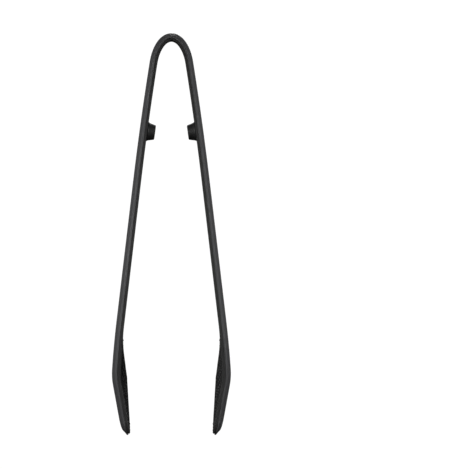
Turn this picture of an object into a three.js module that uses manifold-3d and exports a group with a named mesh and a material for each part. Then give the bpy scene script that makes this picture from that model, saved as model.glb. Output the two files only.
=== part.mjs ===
// Spring loaded kitchen tongs: one long moulding bent into a bow, with a spring strip inside it,
// a liner along its inner side, a grip pad in each head and a stop boss inside each arm.
//
// Every long piece is a strip: s runs along it from the apex of the bow to the tip of an arm, y
// runs across it and n through its thickness, positive on the outside. A strip is described flat,
// by its two edges and its two faces, and is bent along the centreline point by point. Slots,
// holes and grooves are strips too, and are cut out once they are bent. Millimetres, +Z up,
// origin at the inner side of the bow's apex. +X is the side of the right arm, and -Y is the
// near, straighter edge of the blades.

import * as THREE from "three";
import { mergeVertices } from "three/addons/utils/BufferGeometryUtils.js";
import Module from "manifold-3d";

const wasm = await Module();
wasm.setup();

// Layers, through the thickness
const thickness = 5.6; // shell, gap and liner together
const linerThickness = 1.5; // the grip pads have it too
const layerGap = 0.4; // between the shell and what lines it
const pieceGap = 0.4; // between pieces that follow each other along the strip
const flexGap = 0.8; // between the bow's pieces and an arm's, where the bow bends

// Centreline of one half, from the apex to the tip
const bowHalfWidth = 13.5; // half axes of the ellipse that the bow follows
const bowHeight = 25.9;
const shankSpread = 9.0; // degrees from straight down where the bow ends
const easeLength = 85; // the upper arm straightens a little
const easeTurn = -2.2;
const shankLength = 103.5; // straight
const flareLength = 34.5; // the root of the head
const flareTurn = -3.0;
const toeLength = 11; // the bend that turns the head inwards
const toeTurn = -14.0;
const headLength = 37.5; // flat, down to the tip
const flexAt = 38.5; // degrees round the bow's ellipse, where its bending is centred

// Edges of the blade, seen from outside
const nearWidest = -13.5; // the near edge's furthest point
const nearWidestAt = 112; // and how far along the strip it lies
const nearRadiusAbove = 1200;
const nearRadiusBelow = 1500;
const farNarrowest = 8.7; // the far edge is straight round the bow, then swings out
const farNarrowestAt = 26;
const farSwing = 31.7; // reached level with the tip
const farSwingPower = 1.87;
const tipRise = 11.2; // the rounded nose: how far up the near edge it starts
const noseWidth = 7.2; // and how far across from that edge its lowest point is
const slantReach = 3.95; // the slanted end rises from the nose by a power of the way across
const slantPower = 0.58;
const cornerBlend = 2.5; // rounds the far corner, where the slanted end meets the far edge
const tipFlat = 0.15; // cut off the nose, so that it ends in a narrow flat

// Outer chamfer, and the scoop that the head's far and slanted rims make
const chamferWidth = 4.2;
const chamferDepth = 2.6;
const scoopDepth = 5.2;
const scoopReach = 8; // how far in from the rim it starts
const scoopStart = 76; // above the tip
const scoopFull = 40;
const scoopTipShare = 0.15; // what is left of the depth at the tip

// Keyhole slot through each head
const keyholeAbove = 89; // centre of the round end, above the tip
const keyholeRadius = 1.8;
const slotNeck = 2.3;
const slotMouth = 7.1;
const slotMouthAbove = 35.5; // far corner of the wide end
const slotSlant = 7.6; // how much further down the near corner lies
const slotTipWidth = 0.5; // at that corner

// Spring strip, grip pads and stop bosses
const leafWidth = 9;
const leafThickness = 1.0;
const leafPlay = 0.3; // on every side, in its groove
const leafToKeyhole = 1.2; // the strip ends this far above the keyhole
const padAbove = 71; // upper end of a grip pad, above the tip
const liningInset = 0.8; // liner and pads stay this far inside the shell's outline
const bossAlong = 74; // from the apex
const bossBaseRadius = 6.55;
const bossEndRadius = 5.35;
const bossHeight = 5.3;
const bossEdge = 0.6;
const pegRadius = 2.6;
const pegPlay = 0.3;

// Facet sizes
const turnStep = 8; // degrees that the bow turns between facets
const easyTurnStep = 2; // and the arms
const longestStep = 24; // where an arm is straight, for the curve of its edges
const headStep = 4.5; // along the scooped head
const noseSteps = 6; // round the nose, closer together towards its end
const lineStep = 2; // along a line that distances are measured to
const roundSides = 20;
const headColumns = [0.25, 0.5, 0.7, 0.85]; // between the chamfers, closer at the scooped side

const radians = THREE.MathUtils.degToRad;
const outerSkin = thickness / 2;
const innerSkin = -thickness / 2;
const linerTop = innerSkin + linerThickness;
const parting = linerTop + layerGap; // inner side of the shell
const grooveTop = parting + leafThickness + 2 * leafPlay;

// ---- Centreline ----

const bowEnd = Math.atan2(bowHalfWidth, bowHeight * Math.tan(radians(shankSpread)));

function bowPoint(turn) {
  return {
    x: bowHalfWidth * Math.sin(turn),
    z: outerSkin - bowHeight * (1 - Math.cos(turn)),
    spread: Math.atan2(bowHalfWidth * Math.cos(turn), bowHeight * Math.sin(turn)),
  };
}

// Length along the ellipse at even steps of its angle, to look positions up in.
function bowLengths(steps) {
  const lengths = [0];
  for (let i = 1; i <= steps; i += 1) {
    const a = bowPoint((bowEnd * (i - 1)) / steps);
    const b = bowPoint((bowEnd * i) / steps);
    lengths.push(lengths[i - 1] + Math.hypot(b.x - a.x, b.z - a.z));
  }
  return lengths;
}

const lengths = bowLengths(400);
const bowLength = lengths[lengths.length - 1];

function bowTurnAt(s) {
  let i = 1;
  while (i < lengths.length - 1 && lengths[i] < s) i += 1;
  const share = (s - lengths[i - 1]) / (lengths[i] - lengths[i - 1]);
  return (bowEnd * (i - 1 + share)) / (lengths.length - 1);
}

const runs = [
  { length: easeLength, turn: easeTurn },
  { length: shankLength, turn: 0 },
  { length: flareLength, turn: flareTurn },
  { length: toeLength, turn: toeTurn },
  { length: headLength, turn: 0 },
];
const tipAlong = runs.reduce((sum, run) => sum + run.length, bowLength);

// Point on a run that starts at a known point and turns evenly.
function alongRun(start, length, turn) {
  const spread = start.spread + turn;
  if (turn === 0) {
    return {
      x: start.x + length * Math.sin(spread),
      z: start.z - length * Math.cos(spread),
      spread,
    };
  }
  const radius = length / turn;
  return {
    x: start.x + radius * (Math.cos(start.spread) - Math.cos(spread)),
    z: start.z - radius * (Math.sin(spread) - Math.sin(start.spread)),
    spread,
  };
}

// Centreline of the right half: position, and spread, the heading from straight down outwards.
function centreline(s) {
  if (s <= bowLength) return bowPoint(bowTurnAt(s));
  let point = bowPoint(bowEnd);
  let left = s - bowLength;
  for (const run of runs) {
    const last = run === runs[runs.length - 1];
    const length = last ? left : Math.min(left, run.length);
    point = alongRun(point, length, (radians(run.turn) * length) / run.length);
    left -= length;
    if (left <= 0) break;
  }
  return point;
}

function bowLengthTo(turn) {
  const at = (turn / bowEnd) * (lengths.length - 1);
  const i = Math.floor(at);
  return lengths[i] + (at - i) * (lengths[i + 1] - lengths[i]);
}

const flexAlong = bowLengthTo(radians(flexAt));
const armStart = flexAlong + flexGap / 2;
const crownEnd = flexAlong - flexGap / 2;
const padStart = tipAlong - padAbove;
const linerEnd = padStart - pieceGap;
const keyhole = tipAlong - keyholeAbove;
const leafEnd = keyhole - keyholeRadius - leafToKeyhole;

// ---- Outline of the flat blade ----

const noseY = nearEdge(tipAlong) + noseWidth;

function nearEdge(s) {
  const along = Math.abs(s) - nearWidestAt;
  const radius = along < 0 ? nearRadiusAbove : nearRadiusBelow;
  return nearWidest + (along * along) / (2 * radius);
}

function farEdge(s) {
  const along = Math.max(0, Math.abs(s) - farNarrowestAt);
  const share = along / (tipAlong - farNarrowestAt);
  return farNarrowest + farSwing * share ** farSwingPower;
}

// The near edge runs into the nose as a quarter of an ellipse.
function nearOutline(s) {
  const along = Math.abs(s) - (tipAlong - tipRise);
  if (along <= 0) return nearEdge(s);
  const rise = Math.sqrt(Math.max(0, 1 - (along / tipRise) ** 2));
  return noseY - (noseY - nearEdge(tipAlong - tipRise)) * rise;
}

// The far edge, or the slanted end where that lies further in, with the corner rounded.
function farOutline(s) {
  const above = Math.max(0, tipAlong - Math.abs(s));
  const slant = noseY + slantReach * above ** slantPower;
  const edge = farEdge(s);
  const blend = THREE.MathUtils.clamp(0.5 + (slant - edge) / (2 * cornerBlend), 0, 1);
  return slant + (edge - slant) * blend - cornerBlend * blend * (1 - blend);
}

function middle(s) {
  return (nearEdge(s) + farEdge(s)) / 2;
}

// How much wider a margin is, measured straight across, where the outline slants.
function stretch(outline, s) {
  const step = 0.1;
  const slope = (outline(s + step) - outline(s - step)) / (2 * step);
  return Math.hypot(1, slope);
}

function outlinePoints(outline, from, to) {
  const count = Math.ceil((to - from) / lineStep);
  const points = [];
  for (let i = 0; i <= count; i += 1) {
    const share = i / count;
    const s = from + (to - from) * share * (2 - share); // closer together towards the nose
    points.push(new THREE.Vector3(s, outline(s), 0));
  }
  return points;
}

const headTop = tipAlong - scoopStart - scoopReach;
const headLines = [nearOutline, farOutline].map((line) => outlinePoints(line, headTop, tipAlong));

function distanceTo(line, s, y) {
  const place = new THREE.Vector3(s, y, 0);
  const nearest = new THREE.Vector3();
  let least = Infinity;
  for (let i = 1; i < line.length; i += 1) {
    new THREE.Line3(line[i - 1], line[i]).closestPointToPoint(place, true, nearest);
    least = Math.min(least, nearest.distanceTo(place));
  }
  return least;
}

function distanceToEdge(s, y) {
  if (Math.abs(s) > headTop) return Math.min(...headLines.map((line) => distanceTo(line, s, y)));
  return Math.min(y - nearEdge(s), farEdge(s) - y);
}

// How far the scoop pushes a point of the flat blade inwards, and how long its slope is there.
function scoopAt(s, y) {
  const flat = { push: 0, slope: 1 };
  const above = tipAlong - Math.abs(s);
  if (above > scoopStart) return flat;
  const distance = distanceTo(headLines[1], Math.abs(s), y);
  if (distance > scoopReach) return flat;
  const rise = THREE.MathUtils.smoothstep(scoopStart - above, 0, scoopStart - scoopFull);
  const fall = Math.min(1, Math.max(0, above) / scoopFull);
  const depth = scoopDepth * rise * (scoopTipShare + (1 - scoopTipShare) * fall);
  const share = 1 - distance / scoopReach;
  return { push: depth * share ** 2, slope: Math.hypot(1, (2 * depth * share) / scoopReach) };
}

// ---- Strips ----

// Where a point of the flat strip comes to lie. The left half, at negative s, mirrors the right.
// What lies inside the shell keeps its distance from it, measured square to the scoop's slope.
function bent(s, y, n) {
  const side = s < 0 ? -1 : 1;
  const { x, z, spread } = centreline(Math.abs(s));
  const { push, slope } = scoopAt(s, y);
  const height = (n < parting ? parting + (n - parting) * slope : n) - push;
  return [side * (x + height * Math.cos(spread)), y, z + height * Math.sin(spread)];
}

// Places from one end of a strip to the other where it has to have a row of points.
function stationsBetween(from, to, extra = []) {
  const places = [...extra];
  const bowCount = Math.ceil((90 - shankSpread) / turnStep);
  for (let i = 0; i <= bowCount; i += 1) {
    const place = bowLengthTo((bowEnd * i) / bowCount);
    places.push(place, -place);
  }
  let start = bowLength;
  for (const { length, turn } of runs) {
    const count = Math.ceil(Math.max(Math.abs(turn) / easyTurnStep, length / longestStep));
    for (let i = 1; i <= count; i += 1) places.push(start + (length * i) / count);
    start += length;
  }
  for (let above = scoopStart; above > tipRise; above -= headStep) places.push(tipAlong - above);
  for (let i = 1; i <= noseSteps; i += 1) {
    places.push(tipAlong - tipRise * (1 - i / (noseSteps + 1)) ** 2);
  }
  const least = 0.6; // a row closer than this to another one is left out
  const inside = places.filter((s) => s > from + least && s < to - least).sort((a, b) => a - b);
  const spaced = inside.filter((s, i) => i === 0 || s - inside[i - 1] > least);
  return [from, ...spaced, to];
}

// Closed body between two faces: rows of points along it, each with the same number of columns.
function strip({ from, to, extra, columns, low, high }) {
  const rows = stationsBetween(from, to, extra);
  const positions = [];
  for (const s of rows) {
    const row = columns(s);
    for (const y of row) positions.push(...bent(s, y, high(s, y)));
    for (const y of row) positions.push(...bent(s, y, low(s, y)));
  }
  const width = columns(from).length;
  const ring = 2 * width;
  // Round one row: across the high face, then back across the low one.
  const round = [];
  for (let i = 0; i < width; i += 1) round.push(i);
  for (let i = width - 1; i >= 0; i -= 1) round.push(width + i);
  const triangles = [];
  for (let row = 0; row < rows.length - 1; row += 1) {
    for (let i = 0; i < ring; i += 1) {
      const a = row * ring + round[i];
      const b = row * ring + round[(i + 1) % ring];
      triangles.push(a, a + ring, b, b, a + ring, b + ring);
    }
  }
  const last = (rows.length - 1) * ring;
  for (let i = 0; i < width - 1; i += 1) {
    triangles.push(i, i + 1, width + i, i + 1, width + i + 1, width + i);
    const [a, b] = [last + i, last + width + i];
    triangles.push(a, b, a + 1, a + 1, b, b + 1);
  }
  const geometry = new THREE.BufferGeometry();
  geometry.setAttribute("position", new THREE.Float32BufferAttribute(positions, 3));
  geometry.setIndex(triangles);
  return geometry;
}

// Columns of a blade: its edges drawn in by a margin, the chamfers' inner lines, and the rest.
function bladeColumns(margin, between) {
  return (s) => {
    const near = nearOutline(s);
    const far = farOutline(s);
    const widest = (far - near) / 3;
    const nearIn = Math.min(widest, chamferWidth * stretch(nearOutline, s));
    const farIn = Math.min(widest, chamferWidth * stretch(farOutline, s));
    const share = margin / chamferWidth;
    const [low, high] = [near + nearIn, far - farIn];
    const inner = between.map((part) => low + (high - low) * part);
    return [near + nearIn * share, low, ...inner, high, far - farIn * share];
  };
}

function chamferedFace(s, y) {
  const share = THREE.MathUtils.clamp(1 - distanceToEdge(s, y) / chamferWidth, 0, 1);
  return outerSkin - chamferDepth * share;
}

function level(n) {
  return () => n;
}

// ---- Solids ----

function solidFrom(geometry) {
  const bare = geometry.clone();
  bare.deleteAttribute("normal");
  bare.deleteAttribute("uv");
  const merged = mergeVertices(bare, 1e-4);
  return new wasm.Manifold(new wasm.Mesh({
    numProp: 3,
    vertProperties: new Float32Array(merged.attributes.position.array),
    triVerts: new Uint32Array(merged.index.array),
  }));
}

function geometryFrom(solid) {
  const mesh = solid.getMesh();
  const geometry = new THREE.BufferGeometry();
  geometry.setAttribute("position", new THREE.BufferAttribute(mesh.vertProperties, 3));
  geometry.setIndex(new THREE.BufferAttribute(mesh.triVerts, 1));
  return geometry;
}

function cut(geometry, ...cutters) {
  const solid = cutters.reduce((rest, cutter) => rest.subtract(cutter), solidFrom(geometry));
  return geometryFrom(solid);
}

const upwards = new THREE.Vector3(0, 1, 0); // a cylinder's own axis
const clear = 2; // how far a cutter runs past what it cuts

// Round cutter square to the strip.
function rodThrough(s, y, radius) {
  const { x, z, spread } = centreline(s);
  const rod = new THREE.CylinderGeometry(radius, radius, 2 * (thickness + scoopDepth), roundSides);
  const outwards = new THREE.Vector3(Math.cos(spread), 0, Math.sin(spread));
  rod.applyQuaternion(new THREE.Quaternion().setFromUnitVectors(upwards, outwards));
  rod.translate(x, y, z);
  return solidFrom(rod);
}

// Tapered slot from the keyhole down, with its lower end cut on a slant.
function slotCutters() {
  const mouth = tipAlong - slotMouthAbove;
  const half = (s) => (slotNeck + ((slotMouth - slotNeck) * (s - keyhole)) / (mouth - keyhole)) / 2;
  const sides = {
    from: keyhole,
    low: level(innerSkin - clear),
    high: level(outerSkin + clear),
  };
  const nearLine = (s) => middle(s) - half(s);
  const farLine = (s) => {
    if (s < mouth) return middle(s) + half(s);
    const share = (s - mouth) / slotSlant;
    return middle(s) + half(mouth) - share * (2 * half(mouth) - slotTipWidth);
  };
  const slot = strip({
    ...sides,
    to: mouth + slotSlant,
    extra: [mouth],
    columns: (s) => [nearLine(s), farLine(s)],
  });
  return [solidFrom(slot), rodThrough(keyhole, middle(keyhole), keyholeRadius)];
}

function grooveCutter(from, to) {
  const half = leafWidth / 2 + leafPlay;
  return solidFrom(strip({
    from,
    to,
    columns: () => [-half, half],
    low: level(parting - clear),
    high: level(grooveTop),
  }));
}

// ---- Pieces ----

function crownCover() {
  const cover = strip({
    from: -crownEnd,
    to: crownEnd,
    columns: bladeColumns(0, []),
    low: level(parting),
    high: chamferedFace,
  });
  return cut(cover, grooveCutter(-crownEnd - clear, crownEnd + clear));
}

function armShell() {
  const shell = strip({
    from: armStart,
    to: tipAlong - tipFlat,
    columns: bladeColumns(0, headColumns),
    low: level(parting),
    high: chamferedFace,
  });
  return cut(shell, grooveCutter(armStart - clear, leafEnd + leafPlay), ...slotCutters());
}

function lining(from, to, between) {
  return strip({
    from,
    to,
    columns: bladeColumns(liningInset, between),
    low: level(innerSkin),
    high: level(linerTop),
  });
}

function leaf(from, to) {
  const low = parting + leafPlay;
  return strip({
    from,
    to,
    columns: () => [-leafWidth / 2, leafWidth / 2],
    low: level(low),
    high: level(low + leafThickness),
  });
}

function armLiner() {
  const hole = rodThrough(bossAlong, middle(bossAlong), pegRadius + pegPlay);
  return cut(lining(armStart, linerEnd, []), hole, ...slotCutters());
}

function gripPad() {
  return cut(lining(padStart, tipAlong - 2 * liningInset, headColumns), ...slotCutters());
}

// The same piece on the other arm.
function mirrored(geometry) {
  const copy = geometry.clone();
  copy.scale(-1, 1, 1);
  const order = copy.index.array;
  for (let i = 0; i < order.length; i += 3) {
    [order[i + 1], order[i + 2]] = [order[i + 2], order[i + 1]];
  }
  return copy;
}

// Turned boss: a peg into the liner, a base that rests on it and a tapered body.
function stopBoss() {
  const pegLength = linerThickness + 2 * layerGap - pegPlay; // just short of the shell
  const profile = [
    [0, -pegLength],
    [pegRadius, -pegLength],
    [pegRadius, 0],
    [bossBaseRadius, 0],
    [bossEndRadius, bossHeight - bossEdge],
    [bossEndRadius - bossEdge, bossHeight],
    [0, bossHeight],
  ].map(([radius, height]) => new THREE.Vector2(radius, height));
  return new THREE.LatheGeometry(profile, roundSides);
}

const nylon = new THREE.MeshStandardMaterial({ color: 0x2c2c2e, roughness: 0.62, metalness: 0 });
const rubber = new THREE.MeshStandardMaterial({ color: 0x1c1c1d, roughness: 0.8, metalness: 0 });
const steel = new THREE.MeshStandardMaterial({ color: 0xa8abae, roughness: 0.35, metalness: 1 });

const tongs = new THREE.Group();

function addPiece(name, geometry, material) {
  geometry.computeVertexNormals();
  const mesh = new THREE.Mesh(geometry, material);
  mesh.name = name;
  tongs.add(mesh);
  return mesh;
}

addPiece("crown_cover", crownCover(), nylon);
addPiece("crown_spring", leaf(-crownEnd, crownEnd), steel);
addPiece("crown_liner", lining(-crownEnd, crownEnd, []), rubber);

const armPieces = [
  ["arm_shell", armShell(), nylon],
  ["spring_leaf", leaf(armStart, leafEnd), steel],
  ["arm_liner", armLiner(), rubber],
  ["grip_pad", gripPad(), rubber],
];
for (const [name, geometry, material] of armPieces) {
  addPiece(`left_${name}`, mirrored(geometry), material);
  addPiece(`right_${name}`, geometry, material);
}

// The bosses stand on the liner, square to it, and point at each other.
const bossSeat = centreline(bossAlong);
for (const [name, side] of [["left_stop_boss", -1], ["right_stop_boss", 1]]) {
  const boss = addPiece(name, stopBoss(), rubber);
  const inwards = new THREE.Vector3(
    -side * Math.cos(bossSeat.spread),
    0,
    -Math.sin(bossSeat.spread),
  );
  boss.quaternion.setFromUnitVectors(upwards, inwards);
  boss.position.set(side * bossSeat.x, middle(bossAlong), bossSeat.z);
  boss.position.addScaledVector(inwards, thickness / 2 + layerGap);
}

export default tongs;
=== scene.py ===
# %% [markdown]
# # Spring loaded kitchen tongs
# The tongs are one long moulding of black nylon, bent into a bow so that its two arms spring
# apart. A steel strip is shut in the bow between that shell and a soft liner, and each slanted
# head has a soft, studded grip pad. Every long piece is a strip, so it is described flat, by how
# far along the strip a point lies (s), how far across it (y) and how far through it (n), and only
# then bent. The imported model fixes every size. This script gives each piece its finished surface.

# %% Load the frame
import math

import bmesh
import bpy
import numpy as np
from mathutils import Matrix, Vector


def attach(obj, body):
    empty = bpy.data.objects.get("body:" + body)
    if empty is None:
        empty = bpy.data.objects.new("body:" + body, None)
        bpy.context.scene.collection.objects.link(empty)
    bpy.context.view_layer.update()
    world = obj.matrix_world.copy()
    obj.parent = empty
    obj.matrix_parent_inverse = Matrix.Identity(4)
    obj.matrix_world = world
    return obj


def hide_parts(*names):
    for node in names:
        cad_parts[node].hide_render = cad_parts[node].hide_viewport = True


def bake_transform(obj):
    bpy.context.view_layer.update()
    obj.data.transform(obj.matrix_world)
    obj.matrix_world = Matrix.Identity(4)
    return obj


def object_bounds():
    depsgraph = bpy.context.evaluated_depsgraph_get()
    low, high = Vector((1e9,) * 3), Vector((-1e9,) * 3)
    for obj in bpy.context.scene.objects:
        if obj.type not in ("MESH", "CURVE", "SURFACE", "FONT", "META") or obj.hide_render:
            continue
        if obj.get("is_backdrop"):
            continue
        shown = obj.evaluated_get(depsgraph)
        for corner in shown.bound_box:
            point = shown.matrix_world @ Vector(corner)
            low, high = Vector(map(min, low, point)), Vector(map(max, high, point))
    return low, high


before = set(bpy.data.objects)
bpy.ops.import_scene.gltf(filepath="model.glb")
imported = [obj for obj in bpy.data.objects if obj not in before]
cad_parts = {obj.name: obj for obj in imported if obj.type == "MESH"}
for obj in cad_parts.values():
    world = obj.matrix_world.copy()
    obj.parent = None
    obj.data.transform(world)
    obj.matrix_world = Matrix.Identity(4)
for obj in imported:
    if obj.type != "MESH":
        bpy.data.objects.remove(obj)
cad_low, cad_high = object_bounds()

# %% [markdown]
# ## The strip's own sizes
# A strip is easiest to think about flat, as it would lie if the tongs were unrolled. These are the
# sizes that the frame was designed with, in millimetres: the layers through its thickness, the
# runs of its centreline with how far each one turns, and the curves of its two edges.

# %% Sizes of the strip
MM = 0.001

OUTER, INNER = 2.8, -2.8  # the strip's two skins, either side of its centreline
PARTING = -0.9  # inner side of the nylon shell
LINER_TOP = -1.0  # the liner and the pads lie close under it
GROOVE_TOP = 0.7  # the spring strip's groove in the shell
GROOVE_HALF = 4.8

BOW_HALF_WIDTH, BOW_HEIGHT = 13.5, 25.9
SHANK_SPREAD = math.radians(9.0)
RUNS = [(85.0, -2.2), (103.5, 0.0), (34.5, -3.0), (11.0, -14.0), (37.5, 0.0)]

NEAR_WIDEST, NEAR_WIDEST_AT = -13.5, 112.0
NEAR_RADIUS_ABOVE, NEAR_RADIUS_BELOW = 1200.0, 1500.0
FAR_NARROWEST, FAR_NARROWEST_AT = 8.7, 26.0
FAR_SWING, FAR_POWER = 31.7, 1.87
NOSE_RISE, NOSE_WIDTH = 11.2, 7.2
SLANT_REACH, SLANT_POWER = 3.95, 0.58
CORNER_BLEND = 2.5

SCOOP_DEPTH, SCOOP_REACH = 5.2, 8.0
SCOOP_START, SCOOP_FULL, SCOOP_TIP_SHARE = 76.0, 40.0, 0.15

# %% [markdown]
# ## The centreline
# The bow is part of an ellipse and every run below it is an arc or a straight line. One table of
# places along it, close together, stands for all of them, and any s is looked up in the table. That
# is simpler than a formula for each run, and quite close enough.


# %% Centreline
def centreline_table(bow_steps=1500, run_steps=100):
    end = math.atan2(BOW_HALF_WIDTH, BOW_HEIGHT * math.tan(SHANK_SPREAD))
    turn = np.linspace(0, end, bow_steps)
    x = BOW_HALF_WIDTH * np.sin(turn)
    z = OUTER - BOW_HEIGHT * (1 - np.cos(turn))
    spread = np.arctan2(BOW_HALF_WIDTH * np.cos(turn), BOW_HEIGHT * np.sin(turn))
    s = np.concatenate([[0], np.cumsum(np.hypot(np.diff(x), np.diff(z)))])
    bow_length = s[-1]
    done = np.arange(1, run_steps + 1) / run_steps
    half_step = 0.5 / run_steps
    for length, turned in RUNS:
        heading = spread[-1] + math.radians(turned) * (done - half_step)
        x = np.concatenate([x, x[-1] + np.cumsum(np.sin(heading)) * length / run_steps])
        z = np.concatenate([z, z[-1] - np.cumsum(np.cos(heading)) * length / run_steps])
        s = np.concatenate([s, s[-1] + length * done])
        spread = np.concatenate([spread, spread[-1] + math.radians(turned) * done])
    return (s, x, z, spread), bow_length


CENTRELINE, BOW_LENGTH = centreline_table()
TIP = CENTRELINE[0][-1]


def centreline(s):
    return [np.interp(s, CENTRELINE[0], values) for values in CENTRELINE[1:]]


print(f"centreline: bow {BOW_LENGTH:.2f} mm, tip at {TIP:.2f} mm")

# %% [markdown]
# ## The outline
# Seen from outside, an arm is a long blade. Its near edge is almost straight, its far edge swings
# out, and the head ends on a slant with a rounded nose and a rounded far corner. The chamfer, the
# scoop and the wear along the edges all depend on how far a point is from this outline, so that
# distance is worked out properly, and not only straight across.


# %% Outline of the blade
def near_edge(s):
    along = s - NEAR_WIDEST_AT
    radius = np.where(along < 0, NEAR_RADIUS_ABOVE, NEAR_RADIUS_BELOW)
    return NEAR_WIDEST + along**2 / (2 * radius)


def far_edge(s):
    along = np.maximum(0, s - FAR_NARROWEST_AT)
    return FAR_NARROWEST + FAR_SWING * (along / (TIP - FAR_NARROWEST_AT)) ** FAR_POWER


NOSE_Y = near_edge(TIP) + NOSE_WIDTH


def near_outline(s):
    along = np.clip((s - (TIP - NOSE_RISE)) / NOSE_RISE, 0, 1)
    root = near_edge(TIP - NOSE_RISE)
    nose = NOSE_Y - (NOSE_Y - root) * np.sqrt(1 - along**2)
    return np.where(s <= TIP - NOSE_RISE, near_edge(s), nose)


def lesser(a, b, reach):
    """The lesser of two curves, rounded over this reach where they cross."""
    blend = np.clip(0.5 + (a - b) / (2 * reach), 0, 1)
    return a + (b - a) * blend - reach * blend * (1 - blend)


def far_outline(s):
    slant = NOSE_Y + SLANT_REACH * np.maximum(0, TIP - s) ** SLANT_POWER
    return lesser(slant, far_edge(s), CORNER_BLEND)


def slope_of(outline, s, step=0.02):
    return (outline(s + step) - outline(s - step)) / (2 * step)


# the head's two sides as lines of points, closer together towards the tip
HEAD_TOP = TIP - SCOOP_START - SCOOP_REACH
HEAD_S = HEAD_TOP + (TIP - HEAD_TOP) * (1 - (1 - np.linspace(0, 1, 420)) ** 2)
HEAD_LINES = [np.column_stack([HEAD_S, line(HEAD_S)]) for line in (near_outline, far_outline)]


def distance_to(line, s, y, batch=3000):
    """Shortest distance from places on the flat strip to a line of points, a batch at a time."""
    start, step = line[:-1], np.diff(line, axis=0)
    squared = np.maximum((step**2).sum(1), 1e-12)
    points = np.column_stack([np.ravel(s), np.ravel(y)])
    least = np.empty(len(points))
    for i in range(0, len(points), batch):
        away = points[i : i + batch, None] - start
        share = np.clip((away * step).sum(2) / squared, 0, 1)
        gap = away - share[..., None] * step
        least[i : i + batch] = np.sqrt((gap**2).sum(2)).min(1)
    return least.reshape(np.shape(s))


def edge_distance(s, y):
    """Distance from the outline. Above the head the edges are straight enough for their slope."""
    s, y = np.broadcast_arrays(np.asarray(s, float), np.asarray(y, float))
    near = (y - near_edge(s)) / np.hypot(1, slope_of(near_edge, s))
    far = (far_edge(s) - y) / np.hypot(1, slope_of(far_edge, s))
    distance = np.minimum(near, far)
    head = s > HEAD_TOP
    lines = [distance_to(line, s[head], y[head]) for line in HEAD_LINES]
    distance[head] = np.minimum(*lines)
    return distance


def inset_lines(s, inset, halvings=24):
    """The outline drawn in by an even margin, found by halving: y of both its sides at each s."""
    sides = [near_outline(s), far_outline(s)]
    if inset == 0:
        return sides
    centre = spine(s)
    found = []
    for side in sides:
        out, within = side.copy(), centre.copy()
        for _ in range(halvings):
            middle = (out + within) / 2
            short = edge_distance(s, middle) < inset
            out, within = np.where(short, middle, out), np.where(short, within, middle)
        found.append(within)
    return found


head_width = (HEAD_LINES[1] - HEAD_LINES[0])[:, 1].max()
print(f"outline: nose at y {NOSE_Y:.2f} mm, head up to {head_width:.1f} mm wide")

# %% [markdown]
# ## The keyhole slot
# A slot runs down each head from a small round hole, widens, and ends on a slant. The surface is a
# grid of rows and columns, so two of its columns follow the slot's sides. Between them the cells
# are left out, and above and below the slot those two columns lie close together.

# %% Slot
KEYHOLE, KEYHOLE_RADIUS = TIP - 89.0, 1.8
SLOT_NECK, SLOT_MOUTH, MOUTH = 2.3, 7.1, TIP - 35.5
SLOT_SLANT, SLOT_TIP = 7.6, 0.5
SLOT_CORNER = 0.8  # the far corner is rounded over this reach
SLOT_ROUND = 0.8  # and the lowest one over this length
COLUMNS_APART, APART_AFTER, APART_SHARE = 0.9, 1.5, 0.08  # the slot's columns, away from the slot
SETTLING = 12.0  # over this length they settle from the slot's end on to the spine


def middle(s):
    return (near_edge(s) + far_edge(s)) / 2


def slot_half(s):
    return (SLOT_NECK + (SLOT_MOUTH - SLOT_NECK) * (s - KEYHOLE) / (MOUTH - KEYHOLE)) / 2


def slot_ends(grow):
    return KEYHOLE - KEYHOLE_RADIUS - grow, MOUTH + SLOT_SLANT + grow


def spine(s):
    """The line between the slot's columns where there is no slot."""
    low = slot_ends(0)[1]
    end = (near_outline(low), far_outline(low))
    share = (middle(low) - slot_half(MOUTH) + SLOT_TIP / 2 - end[0]) / (end[1] - end[0])
    share = np.interp(s, [MOUTH, low], [0.5, share])
    return near_outline(s) + share * (far_outline(s) - near_outline(s))


def eased(share):
    return share * share * (3 - 2 * share)


def centre_at(low, grow):
    """The middle of the slot's narrow lower end."""
    near = middle(low) - slot_half(low) - grow
    far = middle(low) - SLOT_MOUTH / 2 + SLOT_TIP + grow
    return (near + far) / 2


def slot_lines(s, grow=0.0):
    """The two columns that follow the slot, drawn outwards by grow."""
    top, low = slot_ends(grow)
    circle = np.sqrt(np.maximum(0, (KEYHOLE_RADIUS + grow) ** 2 - (s - KEYHOLE) ** 2))
    half = np.maximum(circle, np.where(s > KEYHOLE, slot_half(s) + grow, 0))
    near = middle(s) - half
    share = (s - MOUTH - grow) / SLOT_SLANT
    slant = middle(s) + SLOT_MOUTH / 2 + grow - share * (SLOT_MOUTH - SLOT_TIP)
    far = lesser(slant, middle(s) + half, SLOT_CORNER)
    # the lowest corner closes in a small round
    late = np.clip((s - (low - SLOT_ROUND)) / SLOT_ROUND, 0, 1)
    centre = (near + far) / 2
    width = (far - near) * np.sqrt(1 - late**2)
    near, far = centre - width / 2, centre + width / 2
    # outside the slot the two columns part slowly, so that the cells beside it stay even
    beyond = np.maximum(top - s, s - low)
    apart = COLUMNS_APART * (1 - np.exp(-np.maximum(0, beyond) / APART_AFTER))
    apart = np.minimum(apart, APART_SHARE * (far_outline(s) - near_outline(s)))
    at_end = np.where(s < KEYHOLE, middle(s), centre_at(low, grow) + (s - low) * 0.1)
    rest = at_end + (spine(s) - at_end) * eased(np.clip(beyond / SETTLING, 0, 1))
    outside = beyond > 0
    return [np.where(outside, rest - apart, near), np.where(outside, rest + apart, far)]


def slot_outline(grow):
    """The slot as a closed line of points, closer together at its ends."""
    top, low = slot_ends(grow)
    s = top + (low - top) * (1 - np.cos(np.linspace(0, math.pi, 500))) / 2
    near, far = (np.column_stack([s, side]) for side in slot_lines(s, grow))
    return np.vstack([near, far[::-1]])


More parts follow.
